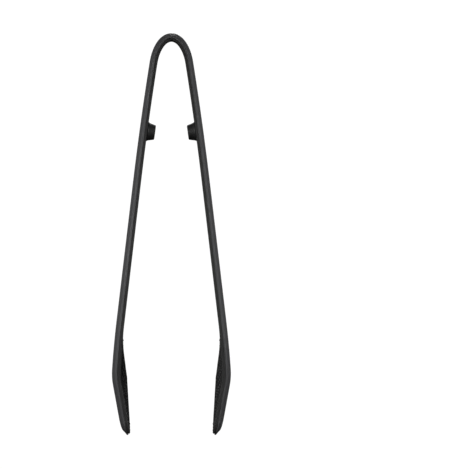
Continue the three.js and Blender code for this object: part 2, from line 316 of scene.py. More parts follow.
print(f"slot: from {slot_ends(0)[0]:.1f} to {slot_ends(0)[1]:.1f} mm along the strip")

# %% [markdown]
# ## Bending the strip
# The head is scooped, so that it cups what it holds: its far and slanted rims are pushed inwards
# along a soft curve. A point is pushed first and then carried on to the centreline, square to it.
# Layers inside the shell keep their distance from it, measured square to the scoop's own slope.
# Towards the tip the strip thins on both sides of its parting line, so that it is slim and round.


# %% Bend
TIP_TAPER, TIP_EASE = 12.0, 1.3
SHELL_THINNING, PAD_THINNING = 0.28, 0.14


def scoop(s, y):
    """How far each place is pushed inwards, and how long the scoop's slope is there."""
    above = TIP - s
    near_enough = above < SCOOP_START + SCOOP_REACH
    distance = np.full(np.shape(s), np.inf)
    distance[near_enough] = distance_to(HEAD_LINES[1], s[near_enough], y[near_enough])
    rise = eased(np.clip((SCOOP_START - above) / (SCOOP_START - SCOOP_FULL), 0, 1))
    fall = np.clip(above / SCOOP_FULL, 0, 1)
    depth = SCOOP_DEPTH * rise * (SCOOP_TIP_SHARE + (1 - SCOOP_TIP_SHARE) * fall)
    share = np.maximum(0, 1 - distance / SCOOP_REACH)
    return depth * share**2, np.hypot(1, 2 * depth * share / SCOOP_REACH)


def thinned(s, n):
    near_tip = np.clip(1 - (TIP - s) / TIP_TAPER, 0, 1) ** TIP_EASE
    thinning = np.where(n > PARTING, SHELL_THINNING, PAD_THINNING)
    return PARTING + (n - PARTING) * (1 - thinning * near_tip)


def bent(flat):
    """Flat places (s, y, n) of the right half, in millimetres, as points of the frame."""
    s, y, n = (flat[..., i] for i in range(3))
    n = thinned(s, n)
    x, z, spread = centreline(s)
    push, slope = scoop(s, y)
    height = np.where(n < PARTING, PARTING + (n - PARTING) * slope, n) - push
    return np.stack([x + height * np.cos(spread), y, z + height * np.sin(spread)], -1) * MM


# %% [markdown]
# ## Rows and columns
# Rows lie close together round the bow, at the keyhole, at the slot's corners and round the nose,
# and far apart where nothing changes. Columns crowd together at the edges, where the chamfer turns
# over, so that a soft moulded radius is real geometry.


# %% Rows
LEAST_ROW, FINE_TIP = 0.06, 1.5  # the least gap between rows, which is finer this near the tip


def rows_between(start, end, *fixed):
    """Places along the strip for one piece. The fixed ones are kept exactly."""
    top, low = slot_ends(0)
    bow = np.arange(0.5, BOW_LENGTH + 2, 0.5)
    arm = np.arange(BOW_LENGTH + 4, top - 3, 4.0)
    above_keyhole = top - np.array([1.6, 0.9, 0.5, 0.25, 0.1])
    keyhole = KEYHOLE - (KEYHOLE_RADIUS + 0.35) * np.cos(np.radians(np.arange(0, 136, 8)))
    slot = np.arange(KEYHOLE + 3, MOUTH - 2, 1.6)
    mouth = np.arange(MOUTH - 2, low + 1.0, 0.2)
    below_slot = np.arange(low + 1.0, TIP - NOSE_RISE, 0.7)
    nose = TIP - NOSE_RISE * (1 - np.sin(np.linspace(0, math.pi / 2, 34)))
    wanted = np.concatenate([bow, arm, above_keyhole, keyhole, slot, mouth, below_slot, nose])
    kept = np.array(sorted({start, end, *fixed}))
    inside = (wanted > start + LEAST_ROW) & (wanted < end - LEAST_ROW / 3)
    for place in np.sort(wanted[inside]):
        least = LEAST_ROW if place < TIP - FINE_TIP else LEAST_ROW / 8
        if np.abs(kept - place).min() > least:
            kept = np.append(kept, place)
    return np.sort(kept)


def spaced(start, end, from_start, from_end, between):
    """Columns from start to end: set distances in from both ends, even ones between."""
    reach = from_start[..., -1:] + from_end[..., -1:]
    scale = np.minimum(1, 0.8 * (end - start) / reach)  # where the strip is narrow they close up
    first = start + from_start * scale
    last = end - (from_end * scale)[..., ::-1]
    share = np.arange(1, between + 1) / (between + 1)
    inner = first[..., -1:] + (last[..., :1] - first[..., -1:]) * share
    return np.concatenate([first, inner, last], axis=-1)


def stretched_steps(s, steps, outline):
    """Distances square to the edge, made longer where the edge runs steeply across."""
    return steps * np.minimum(4, np.hypot(1, slope_of(outline, s - 0.03)))[:, None]


def face(s, inset, edge_steps, slot_steps, between, grow, height):
    """One skin of a piece, as a grid of flat places, with the column where the slot starts."""
    near, far = (side[:, None] for side in inset_lines(s, inset))
    slot_near, slot_far = (side[:, None] for side in slot_lines(s, grow))
    near_steps = stretched_steps(s, edge_steps, near_outline)
    far_steps = stretched_steps(s, edge_steps, far_outline)
    slot_steps = np.broadcast_to(slot_steps, (len(s), len(slot_steps)))
    near_part = spaced(near, slot_near, near_steps, slot_steps, between)
    far_part = spaced(slot_far, far, slot_steps, far_steps, between)
    y = np.concatenate([near_part, far_part], axis=1)
    along = np.broadcast_to(s[:, None], y.shape)
    from_edge = np.maximum(0, edge_distance(along, y) - inset)
    from_edge[:, [0, -1]] = 0
    from_slot = np.full(y.shape, np.inf)
    top, low = slot_ends(grow)
    close = (along > top - 2) & (along < low + 2)
    from_slot[close] = distance_to(slot_outline(grow), along[close], y[close])
    gap = near_part.shape[1] - 1
    from_slot[(s >= top) & (s <= low), gap : gap + 2] = 0
    return np.stack([along, y, height(from_edge, from_slot)], -1), gap, from_edge


# %% [markdown]
# A closed body is two such skins, joined along their edges, round the slot and at their ends. The
# points that coincide are welded, which also closes the nose, where every column meets. Each point
# keeps its flat place and its distance from the edge as attributes, so that the materials can
# follow the strip round the bow and stay put when the arms are squeezed.


# %% Closed bodies
def quads(a, b, skip=None):
    """Faces between neighbouring rows of two columns of point numbers."""
    kept = [i for i in range(len(a) - 1) if skip is None or not skip[i]]
    return [(a[i], b[i], b[i + 1], a[i + 1]) for i in kept]


def end_caps(upper, lower, up_gap, down_gap, beside_slot):
    """The end face of a strip, in two parts where the slot runs through it."""
    if not beside_slot:
        return [tuple(upper) + tuple(lower[::-1])]
    near = tuple(upper[: up_gap + 1]) + tuple(lower[: down_gap + 1][::-1])
    far = tuple(upper[up_gap + 1 :]) + tuple(lower[down_gap + 1 :][::-1])
    return [near, far]


def closed_body(name, s, upper, lower, grow, side):
    """A piece between two skins. Side is 1 for the right half and -1 for the left."""
    (up, up_gap, up_edge), (down, down_gap, down_edge) = upper, lower
    flat = np.concatenate([up.reshape(-1, 3), down.reshape(-1, 3)])
    from_edge = np.concatenate([up_edge.ravel(), down_edge.ravel()])
    points = bent(flat) * [side, 1, 1]
    up_ids = np.arange(up.shape[0] * up.shape[1]).reshape(up.shape[:2])
    down_ids = up_ids.size + np.arange(down.shape[0] * down.shape[1]).reshape(down.shape[:2])
    top, low = slot_ends(grow)
    in_slot = (s[:-1] > top - 1e-6) & (s[1:] < low + 1e-6)
    faces = []
    for ids, gap in ((up_ids, up_gap), (down_ids, down_gap)):
        for column in range(ids.shape[1] - 1):
            skip = in_slot if column == gap else None
            faces += quads(ids[:, column], ids[:, column + 1], skip)
    for side_column in (0, -1):
        faces += quads(up_ids[:, side_column], down_ids[:, side_column])
    for column, other in ((up_gap, down_gap), (up_gap + 1, down_gap + 1)):
        faces += quads(up_ids[:, column], down_ids[:, other], ~in_slot)
    for row, beside in ((0, in_slot[0]), (-1, in_slot[-1])):
        faces += end_caps(up_ids[row], down_ids[row], up_gap, down_gap, beside)
    mesh = new_mesh(name, points, faces)
    keep_attributes(mesh, flat, from_edge)
    return weld(name, mesh)


# %% [markdown]
# Meshes are made from plain lists of points and faces. Welding them there, and turning the faces
# outwards after it, is what makes each a closed body, and the count of open edges shows that it is.


# %% Meshes
def new_mesh(name, points, faces):
    mesh = bpy.data.meshes.new(name)
    mesh.from_pydata([tuple(p) for p in points], [], [tuple(int(i) for i in f) for f in faces])
    return mesh


def new_object(name, data):
    made = bpy.data.objects.new(name, data)
    bpy.context.scene.collection.objects.link(made)
    return made


def keep_attributes(mesh, flat, from_edge):
    mesh.attributes.new("flat", "FLOAT_VECTOR", "POINT").data.foreach_set("vector", flat.ravel())
    mesh.attributes.new("from_edge", "FLOAT", "POINT").data.foreach_set("value", from_edge)


def weld(name, mesh, crease=40.0):
    """Merges points that coincide, turns every face outwards and links the finished piece."""
    body = bmesh.new()
    body.from_mesh(mesh)
    bmesh.ops.remove_doubles(body, verts=body.verts, dist=2e-6)
    bmesh.ops.dissolve_degenerate(body, edges=body.edges, dist=1e-7)
    bmesh.ops.recalc_face_normals(body, faces=body.faces)
    if body.calc_volume() < 0:
        bmesh.ops.reverse_faces(body, faces=body.faces)
    open_edges = sum(1 for edge in body.edges if not edge.is_manifold)
    volume = body.calc_volume()
    body.to_mesh(mesh)
    body.free()
    mesh.shade_smooth()
    mesh.set_sharp_from_angle(angle=math.radians(crease))
    print(f"{name}: {len(mesh.polygons)} faces, {volume * 1e6:.2f} ml, {open_edges} open edges")
    return new_object(name, mesh)


# %% [markdown]
# ## Outer shell
# The shell is black glass filled nylon. Outside it has a flat face between two wide chamfers with
# a soft radius at each crease and a little draft on its side walls, as a moulding has. The profile
# is a short table from the edge inwards. A shallow moulded line runs just inside the rim of the
# slanted end, and fades out up the far edge. A boolean cut would leave ragged facets round the
# slot, so the slot's own edges are rows and columns of the grid, with a small radius.

# %% Outer shell
PROFILE = [
    (0, -0.9), (0.05, -0.12), (0.13, 0.12), (0.26, 0.29), (0.5, 0.48), (0.9, 0.74), (1.7, 1.24),
    (2.6, 1.80), (3.3, 2.24), (3.7, 2.47), (4.05, 2.62), (4.4, 2.72), (4.65, 2.76), (4.85, 2.78),
    (5.0, 2.785), (5.15, 2.79), (5.35, 2.795), (5.8, 2.8),
]
PROFILE_FROM_EDGE, PROFILE_HEIGHT = np.array(PROFILE).T
RIM_CREASE_AT, RIM_CREASE_WIDTH, RIM_CREASE_DEPTH = 4.95, 0.32, 0.3
RIM_CREASE_START, RIM_CREASE_FADE = 44.0, 12.0  # above the tip, where the crease sets in
SLOT_RADIUS = 0.35
SLOT_STEPS = np.array([0, 0.03, 0.09, 0.18, 0.35, 0.9])
GROOVE_END = KEYHOLE - KEYHOLE_RADIUS - 0.9
SIDES = {"left": -1, "right": 1}


def rounded(distance, radius):
    """How far a rounded edge of this radius lies below the face."""
    share = np.clip(1 - distance / radius, 0, 1)
    return radius * (1 - np.sqrt(1 - share**2))


def outer_height(from_edge, from_slot):
    return np.interp(from_edge, PROFILE_FROM_EDGE, PROFILE_HEIGHT) - rounded(from_slot, SLOT_RADIUS)


def inner_side_of_shell(s, groove_end):
    """The shell's hidden side, with the groove for the spring strip down its middle."""
    near, far = near_outline(s), far_outline(s)
    slot_near, slot_far = slot_lines(s)
    grooved = s <= groove_end
    left = np.where(grooved, -GROOVE_HALF, slot_near)
    right = np.where(grooved, GROOVE_HALF, slot_far)
    columns = [near, (near + left) / 2, left, left, right, right, (right + far) / 2, far]
    y = np.stack(columns, 1)
    n = np.full(y.shape, PARTING)
    n[:, 3:5] = np.where(grooved, GROOVE_TOP, PARTING)[:, None]
    return np.stack([np.broadcast_to(s[:, None], y.shape), y, n], -1), 3, np.zeros(y.shape)


def rim_crease(skin):
    """A shallow line inside the rim, round the far corner and along the slanted end."""
    grid, gap, from_edge = skin
    s, y = grid[..., 0], grid[..., 1]
    begun = np.clip((s - (TIP - RIM_CREASE_START)) / RIM_CREASE_FADE, 0, 1)
    across = np.clip((y - NOSE_Y) / NOSE_WIDTH + 1, 0, 1)
    line = np.exp(-(((from_edge - RIM_CREASE_AT) / RIM_CREASE_WIDTH) ** 2))
    height = grid[..., 2] - RIM_CREASE_DEPTH * line * begun * across
    return np.stack([s, y, height], -1), gap, from_edge


shells = {}
for side_name, side in SIDES.items():
    s = rows_between(0.0, TIP, 0.02, *slot_ends(0), GROOVE_END, GROOVE_END + 0.02)
    outside = rim_crease(face(s, 0, PROFILE_FROM_EDGE, SLOT_STEPS, 5, 0, outer_height))
    inside = inner_side_of_shell(s, GROOVE_END)
    shells[side_name] = closed_body(f"{side_name}_outer_shell", s, outside, inside, 0, side)

# %% [markdown]
# ## Liner and grip pads
# Along the inner side lies a softer, darker layer with a small radius at its edges. It stops at the
# head, where the grip pad carries on. Both stay a little inside the shell's outline, so the shell
# frames them, and both open a little wider than the shell's slot.

# %% Liner and pads
INSET = 0.8
SOFT_RADIUS = 0.55
SOFT_STEPS = np.array([0, 0.02, 0.08, 0.2, 0.36, 0.55, 1.4])
SLOT_CLEAR = 0.2  # the soft layers open this much wider than the slot
TONGUE_TOP, TONGUE_FROM_EDGE = PARTING - 0.004, 1.0
PAD_START = TIP - 71.0
LINER_END = PAD_START - 0.15


def under_shell(from_edge, from_slot):
    """The hidden side steps up under the shell, so that no light shows through the parting line."""
    inside = np.clip(np.minimum(from_edge, from_slot) / TONGUE_FROM_EDGE, 0, 1)
    return LINER_TOP + (TONGUE_TOP - LINER_TOP) * inside


def soft_face(from_edge, from_slot):
    fall = np.maximum(rounded(from_edge, SOFT_RADIUS), rounded(from_slot, SOFT_RADIUS))
    return INNER + fall


def soft_layer(name, s, between, side):
    tongue_steps = np.array([0, TONGUE_FROM_EDGE])
    hidden = face(s, INSET, tongue_steps, tongue_steps, 1, SLOT_CLEAR, under_shell)
    shown = face(s, INSET, SOFT_STEPS, SOFT_STEPS, between, SLOT_CLEAR, soft_face)
    return closed_body(name, s, hidden, shown, SLOT_CLEAR, side)


liners, pads = {}, {}
for side_name, side in SIDES.items():
    top, low = slot_ends(SLOT_CLEAR)
    s = rows_between(0.0, LINER_END, 0.02, top)
    liners[side_name] = soft_layer(f"{side_name}_inner_liner", s, 4, side)
    s = rows_between(PAD_START, TIP - INSET - 0.02, low)
    pads[side_name] = soft_layer(f"{side_name}_grip_face", s, 9, side)

# %% [markdown]
# ## Stop bosses
# A short round boss stands on each liner. The two keep the arms from being squeezed so far that the
# bow is strained. It is a turned shape, so one profile is carried round it: a flared foot, a side
# with a little draft, a rounded edge and a face that is very slightly crowned.

# %% Stop bosses
BOSS_ALONG, BOSS_SEAT = 74.0, OUTER + 0.4
BOSS_PROFILE = [
    (0.0, -0.36), (6.35, -0.36), (6.85, -0.2), (6.9, 0.0), (6.72, 0.22), (6.5, 0.48), (6.33, 0.85),
    (6.2, 1.3), (5.98, 2.2), (5.76, 3.1), (5.56, 3.9), (5.47, 4.3), (5.38, 4.62), (5.24, 4.9),
    (5.03, 5.1), (4.75, 5.22), (4.3, 5.27), (3.0, 5.29), (1.4, 5.3), (0.0, 5.3),
]
BOSS_RIM = np.array([5.24, 4.9])  # the rounded edge, where the boss is worn
BOSS_SIDES = 72


def stop_boss(name, side):
    at = np.array([BOSS_ALONG])
    (x,), (z,), (spread,) = centreline(at)
    inwards = np.array([-side * math.cos(spread), 0, -math.sin(spread)])
    seat = np.array([side * x, middle(at)[0], z]) + inwards * BOSS_SEAT
    along = np.array([0, 1, 0])
    across = np.cross(inwards, along)
    points, flat, from_rim = [], [], []
    for radius, height in BOSS_PROFILE:
        for turn in np.linspace(0, 2 * math.pi, BOSS_SIDES, endpoint=False):
            a, b = radius * math.cos(turn), radius * math.sin(turn)
            points.append((seat + a * along + b * across + height * inwards) * MM)
            flat.append((a, b, height))
            from_rim.append(np.abs(BOSS_RIM - (radius, height)).sum())
    ids = np.arange(len(points)).reshape(len(BOSS_PROFILE), BOSS_SIDES)
    ids = np.concatenate([ids, ids[:, :1]], axis=1)
    mesh = new_mesh(name, points, [quad for a, b in zip(ids, ids[1:]) for quad in quads(a, b)])
    keep_attributes(mesh, np.array(flat), np.array(from_rim))
    return weld(name, mesh, crease=60.0)


bosses = {name: stop_boss(f"{name}_boss", side) for name, side in SIDES.items()}

# %% [markdown]
# ## Spring strip
# A hardened steel strip does the springing. It is shut in the shell's groove from the bow to just
# above the keyhole, so nothing of it shows, but it is there, with its edges rounded as they are on
# rolled strip.

# %% Spring strip
SPRING_HALF, SPRING_LOW, SPRING_HIGH = 4.5, -0.6, 0.4
SPRING_RADIUS = 0.5
SPRING_STEPS = np.array([0, 0.08, 0.25, 0.5])
SPRING_END = KEYHOLE - KEYHOLE_RADIUS - 1.2


def spring_skin(s, top):
    y = np.concatenate([SPRING_STEPS - SPRING_HALF, [0.0], (SPRING_HALF - SPRING_STEPS)[::-1]])
    from_edge = SPRING_HALF - np.abs(y)
    fall = rounded(from_edge, SPRING_RADIUS)
    n = SPRING_HIGH - fall if top else SPRING_LOW + fall
    along, y, n, from_edge = np.broadcast_arrays(s[:, None], y, n, from_edge)
    return np.stack([along, y, n], -1), len(SPRING_STEPS), from_edge


springs = {}
for side_name, side in SIDES.items():
    s = rows_between(0.0, SPRING_END, 0.02)
    skins = [spring_skin(s, top) for top in (True, False)]
    springs[side_name] = closed_body(f"{side_name}_spring_strip", s, *skins, 0, side)

# %% [markdown]
# ## Grip studs
# The pads are covered with small soft studs in a staggered pattern, which is what makes them grip.
# Geometry Nodes lay them: a plain grid of points is staggered in flat coordinates, each point looks
# up its place and its facing on the pad through the pad's flat UV map, and points too close to an
# edge or to the slot are dropped. One small stud is then set on each. Doing this by hand would
# take a loop over hundreds of places, and a change of pitch would mean building them all again.


# %% Carrier for the studs
CARRIER_ROWS, CARRIER_COLUMNS = 110, 60
MAP_SIZE = 75.0  # one unit of the flat map, in millimetres
MAP_CORNER = (PAD_START, -20.0)


def stud_carrier(pad_name, side):
    """The pad's inner skin alone, with its flat UV map and its margin from any edge."""
    s = np.linspace(PAD_START + 0.5, TIP - INSET - 0.4, CARRIER_ROWS)
    near, far = inset_lines(s, INSET)
    share = np.linspace(0.005, 0.995, CARRIER_COLUMNS)
    y = near[:, None] + (far - near)[:, None] * share
    along = np.broadcast_to(s[:, None], y.shape)
    margin = np.minimum(edge_distance(along, y) - INSET, along - PAD_START)
    slot_near, slot_far = (line[:, None] for line in slot_lines(s))
    inside_slot = (y > slot_near) & (y < slot_far) & (along < slot_ends(0)[1])
    from_slot = np.where(inside_slot, -1, distance_to(slot_outline(SLOT_CLEAR), along, y))
    flat = np.stack([along, y, np.full(y.shape, INNER)], -1).reshape(-1, 3)
    ids = np.arange(len(flat)).reshape(y.shape)
    faces = [quad for a, b in zip(ids.T, ids.T[1:]) for quad in quads(a, b)]
    if side < 0:
        faces = [quad[::-1] for quad in faces]
    mesh = new_mesh(pad_name + "_carrier", bent(flat) * [side, 1, 1], faces)
    margins = mesh.attributes.new("margin", "FLOAT", "POINT")
    margins.data.foreach_set("value", np.minimum(margin, from_slot).ravel())
    corner = np.array([loop.vertex_index for loop in mesh.loops])
    unrolled = (flat[corner, :2] - MAP_CORNER) / MAP_SIZE
    mesh.uv_layers.new(name="flat_map").data.foreach_set("uv", unrolled.ravel())
    facing = np.array(mesh.polygons[len(mesh.polygons) // 2].normal)
    print(f"{mesh.name}: {len(mesh.polygons)} faces, facing {np.round(facing, 2)}")
    return new_object(mesh.name, mesh)


# %% [markdown]
# ## Nodes
# The studs, the finishes and the room are all made of nodes. One method adds any node to a tree.
# Arithmetic reads best as ordinary sums, so a small class wraps a socket, and each operator on it
# adds a Math node.


# %% Node helpers
class Field:
    """The value of a socket, with the arithmetic of numbers."""

    def __init__(self, nodes, socket):
        self.nodes, self.socket = nodes, socket

    def _math(self, operation, *terms):
        return self.nodes.node("ShaderNodeMath", {"operation": operation}, dict(enumerate(terms)))

    def __add__(self, other):
        return self._math("ADD", self, other)

    def __sub__(self, other):
        return self._math("SUBTRACT", self, other)

    def __rsub__(self, other):
        return self._math("SUBTRACT", other, self)

    def __mul__(self, other):
        return self._math("MULTIPLY", self, other)

    def __truediv__(self, other):
        return self._math("DIVIDE", self, other)

    def __rtruediv__(self, other):
        return self._math("DIVIDE", other, self)

    def __mod__(self, other):
        return self._math("MODULO", self, other)

    def __lt__(self, other):
        return self._math("LESS_THAN", self, other)

    def __gt__(self, other):
        return self._math("GREATER_THAN", self, other)

    def __abs__(self):
        return self._math("ABSOLUTE", self)

    __radd__, __rmul__ = __add__, __mul__

    def floored(self):
        return self._math("FLOOR", self)

    def held(self):
        """Kept between 0 and 1."""
        return self._math("MINIMUM", self._math("MAXIMUM", self, 0.0), 1.0)

    def beside(self, name):
        """Another output of the same node."""
        return Field(self.nodes, self.socket.node.outputs[name])


class Nodes:
    """The nodes of one tree."""

    def __init__(self, tree):
        self.tree = tree
        tree.nodes.clear()

    def node(self, kind, settings=None, sockets=None, output=0):
        """Makes a node, sets its settings and then its sockets' values or links."""
        made = self.tree.nodes.new(kind)
        for name, value in (settings or {}).items():
            setattr(made, name, value)
        for key, value in (sockets or {}).items():
            if isinstance(value, Field):
                self.tree.links.new(value.socket, made.inputs[key])
            else:
                made.inputs[key].default_value = value
        return Field(self, made.outputs[output]) if made.outputs else None


# %% [markdown]
# The studs' tree has named inputs for their pitch, radius, height and margin, and for the size of
# the flat map. Its grid covers the whole map, every other row shifted by half a pitch, and the
# sampling node says which points of it really lie on the pad. A field is worked out on the grid
# itself, so what a stud needs is stored there before any point is dropped.


# %% Node tree for the studs
STUD_SIZES = {"Pitch": 2.3, "Radius": 0.8, "Height": 0.5, "Margin": 1.2, "Map Size": MAP_SIZE}
ROW_SPACING = 0.866  # of the pitch, so that neighbours stand at about 60 degrees


def stud_tree(material):
    tree = bpy.data.node_groups.new("grip_studs", "GeometryNodeTree")
    tree.is_modifier = True
    tree.interface.new_socket("Pad", in_out="INPUT", socket_type="NodeSocketGeometry")
    for name, value in STUD_SIZES.items():
        socket = tree.interface.new_socket(name, in_out="INPUT", socket_type="NodeSocketFloat")
        socket.default_value = value
    tree.interface.new_socket("Studs", in_out="OUTPUT", socket_type="NodeSocketGeometry")
    nodes = Nodes(tree)
    pad = nodes.node("NodeGroupInput")
    step = pad.beside("Pitch") / pad.beside("Map Size")
    geometry, on_map = staggered_grid(nodes, step)

    def sampled(value, kind="FLOAT_VECTOR"):
        uv = stored(nodes, "flat_map")
        sockets = {"Mesh": pad, "Value": value, "UV Map": uv, "Sample UV": on_map}
        return nodes.node("GeometryNodeSampleUVSurface", {"data_type": kind}, sockets)

    place = sampled(nodes.node("GeometryNodeInputPosition"))
    facing = sampled(nodes.node("GeometryNodeInputNormal"))
    room = sampled(stored(nodes, "margin", "FLOAT"), "FLOAT")
    dropped = ((room < pad.beside("Margin")) + (1.0 - place.beside("Is Valid"))) > 0.5
    for name, value, kind in (("facing", facing, "FLOAT_VECTOR"), ("dropped", dropped, "FLOAT")):
        settings = {"data_type": kind, "domain": "POINT"}
        sockets = {"Geometry": geometry, "Name": name, "Value": value}
        geometry = nodes.node("GeometryNodeStoreNamedAttribute", settings, sockets)
    sockets = {"Geometry": geometry, "Position": place}
    geometry = nodes.node("GeometryNodeSetPosition", {}, sockets)
    sockets = {"Geometry": geometry, "Selection": stored(nodes, "dropped", "FLOAT") > 0.5}
    geometry = nodes.node("GeometryNodeDeleteGeometry", {"domain": "POINT"}, sockets)

    sockets = {"Vector": stored(nodes, "facing")}
    turn = nodes.node("FunctionNodeAlignRotationToVector", {"axis": "Z"}, sockets)
    stud = one_stud(nodes, pad.beside("Radius") * MM, pad.beside("Height") * MM)
    sockets = {"Points": geometry, "Instance": stud, "Rotation": turn}
    laid = nodes.node("GeometryNodeInstanceOnPoints", {}, sockets)
    real = nodes.node("GeometryNodeRealizeInstances", {}, {"Geometry": laid})
    smooth = nodes.node("GeometryNodeSetShadeSmooth", {}, {"Geometry": real})
    sockets = {"Geometry": smooth, "Material": material}
    finished = nodes.node("GeometryNodeSetMaterial", {}, sockets)
    nodes.node("NodeGroupOutput", {}, {"Studs": finished})
    return tree


def stored(nodes, name, kind="FLOAT_VECTOR"):
    """A value that the points carry."""
    return nodes.node("GeometryNodeInputNamedAttribute", {"data_type": kind}, {"Name": name})


def staggered_grid(nodes, step):
    """A grid of points, and where each of them lies on the flat map."""
    across = step * ROW_SPACING
    count = 1.0 / step + 2.0
    sockets = {"Vertices X": 1.0 / across + 2.0, "Vertices Y": count, "Size X": 1.0, "Size Y": 1.0}
    grid = nodes.node("GeometryNodeMeshGrid", {}, sockets)
    index = nodes.node("GeometryNodeInputIndex")
    whole = count.floored()
    row = ((index + 0.5) / whole).floored()
    u = row * across
    v = (index - row * whole + (row % 2.0) * 0.5) * step
    return grid, nodes.node("ShaderNodeCombineXYZ", {}, {0: u, 1: v})


def one_stud(nodes, wide, high):
    """A low dome. Its lower half is sunk in the pad."""
    sockets = {"Segments": 10, "Rings": 6, "Radius": 1.0}
    ball = nodes.node("GeometryNodeMeshUVSphere", {}, sockets)
    size = nodes.node("ShaderNodeCombineXYZ", {}, {0: wide, 1: wide, 2: high})
    return nodes.node("GeometryNodeTransform", {}, {"Geometry": ball, "Scale": size})


def laid_studs(name, carrier, tree):
    modifier = carrier.modifiers.new("studs", "NODES")
    modifier.node_group = tree
    for item in tree.interface.items_tree:
        if item.name in STUD_SIZES:
            modifier[item.identifier] = STUD_SIZES[item.name]
    graph = bpy.context.evaluated_depsgraph_get()
    mesh = bpy.data.meshes.new_from_object(carrier.evaluated_get(graph))
    mesh.name = name
    carrier.modifiers.remove(modifier)
    bpy.data.objects.remove(carrier)
    print(f"{name}: {len(mesh.polygons)} faces")
    return new_object(name, mesh)


# %% [markdown]
# ## Finishes
# Every finish is worked out from a few fields on the surface: the flat place, so that grain and
# flow marks follow the strip, and the distance from the edge, where handling polishes it and where
# the nylon carries a painted highlight along its chamfer crease.


# %% Finish helpers
class Finish(Nodes):
    """The nodes of one material, which end in a Principled surface."""

    def __init__(self, name):
        self.material = bpy.data.materials.new(name)
        self.material.use_nodes = True
        super().__init__(self.material.node_tree)

    def attribute(self, name, output):
        settings = {"attribute_name": name, "attribute_type": "GEOMETRY"}
        return self.node("ShaderNodeAttribute", settings, output=output)

    def strip_place(self):
        return self.attribute("flat", "Vector")

    def from_edge(self):
        return self.attribute("from_edge", "Fac")

    def noise(self, place, scale, detail=2.0, roughness=0.5):
        sockets = {"Vector": place, "Scale": scale, "Detail": detail, "Roughness": roughness}
        return self.node("ShaderNodeTexNoise", {}, sockets)

    def stretched(self, place, scale):
        return self.node("ShaderNodeMapping", {}, {"Vector": place, "Scale": scale})

    def mix(self, factor, a, b):
        return self.node("ShaderNodeMix", {"data_type": "RGBA"}, {0: factor, 6: a, 7: b}, output=2)

    def bump(self, height, distance, strength):
        sockets = {"Height": height, "Distance": distance, "Strength": strength}
        return self.node("ShaderNodeBump", {}, sockets)

    def surface(self, **sockets):
        named = {key.replace("_", " "): value for key, value in sockets.items()}
        shader = self.node("ShaderNodeBsdfPrincipled", {}, named)
        self.node("ShaderNodeOutputMaterial", {}, {"Surface": shader})
        return self.material


def grey(value, blue=1.0):
    return (value, value, value * blue, 1.0)


# %% [markdown]
# ### Moulded nylon
# Glass filled nylon comes out of the mould nearly black, with a fine, even grain from the spark
# eroded cavity. On top of the grain lie long, faint flow marks that run down the strip, a slow
# change of tone, and a little polish where hands and pans rub the edges. Along the crease where
# the flat face turns into the chamfer, a lighter line is a painted highlight, which stands in for
# a crisp edge catching the lamps. The grain is finer than a tenth of a millimetre deep, so it is
# bump and roughness and not geometry.


# %% Moulded nylon
def moulded_nylon():
    finish = Finish("moulded_nylon")
    place = finish.strip_place()
    edge = finish.from_edge()
    grain = finish.noise(place, 2.6, 3.0, 0.6)
    pits = finish.noise(place, 7.0, 1.0, 0.5)
    flow = finish.noise(finish.stretched(place, (0.035, 0.5, 0.5)), 1.0, 3.0, 0.55)
    tone = finish.noise(finish.stretched(place, (0.02, 0.045, 0.045)), 1.0, 2.0, 0.5)
    lip = (1.0 - abs(edge - 0.35) / 0.35).held()
    # painted highlight: a lighter line along the chamfer crease, where a crisp edge would catch the
    # lamps
    crease = (1.0 - abs(edge - 4.1) / 0.9).held() * 0.45
    # real polish at the lip plus the painted crease highlight; both lighten the colour and lower the
    # roughness
    wear_and_crease_highlight = ((lip + crease) * (0.35 + finish.noise(place, 0.25, 3.0) * 0.9)).held()
    shade = (0.25 + tone * 0.35 + flow * 0.3 + grain * 0.15).held()
    black = finish.mix(shade, grey(0.026, 1.06), grey(0.037, 1.07))
    colour = finish.mix(wear_and_crease_highlight * 0.55, black, grey(0.052, 1.05))
    rough = 0.50 + grain * 0.10 + flow * 0.05 - wear_and_crease_highlight * 0.10
    normal = finish.bump(grain + pits * 0.5, 0.00007, 0.6)
    return finish.surface(Base_Color=colour, Roughness=rough, Normal=normal, IOR=1.52)


nylon = moulded_nylon()

# %% [markdown]
# ### Soft grip
# The liner, the pads and the bosses are a softer compound, blacker and duller than the nylon, with
# a coarser grain. Their edges are a shade smoother from use.


# %% Soft grip
SOFT_BLACK = grey(0.0065)


def soft_grip(name, light, roughness, grain, edge_at=0.3, edge_width=0.5, worn=0.4):
    finish = Finish(name)
    place = finish.strip_place()
    edge = finish.from_edge()
    speckle = finish.noise(place, grain, 2.0, 0.6)
    cloud = finish.noise(place, 0.12, 3.0, 0.55)
    dust = finish.noise(place, 0.9, 4.0, 0.7)
    lip = (1.0 - abs(edge - edge_at) / edge_width).held() * (0.4 + cloud)
    shade = (cloud * 0.6 + dust * 0.4).held()
    black = finish.mix(shade, SOFT_BLACK, grey(light))
    colour = finish.mix((lip * worn).held(), black, grey(light * 2.0))
    rough = roughness + dust * 0.12 - lip * 0.12
    normal = finish.bump(speckle + cloud * 0.4, 0.00006, 0.4)
    return finish.surface(Base_Color=colour, Roughness=rough, Normal=normal, IOR=1.42)


liner_rubber = soft_grip("liner_rubber", light=0.0105, roughness=0.66, grain=2.2)
pad_rubber = soft_grip("pad_rubber", light=0.0115, roughness=0.70, grain=1.8)
worn_rim = {"edge_at": 0.1, "edge_width": 0.9, "worn": 0.5}
boss_rubber = soft_grip("boss_rubber", light=0.0105, roughness=0.50, grain=2.4, **worn_rim)

# %% [markdown]
# ### Stud rubber
# A stud has no flat place of its own, because Geometry Nodes made it, so its finish reads Object
# coordinates. The pads ride on rigid arms, and nothing slides.


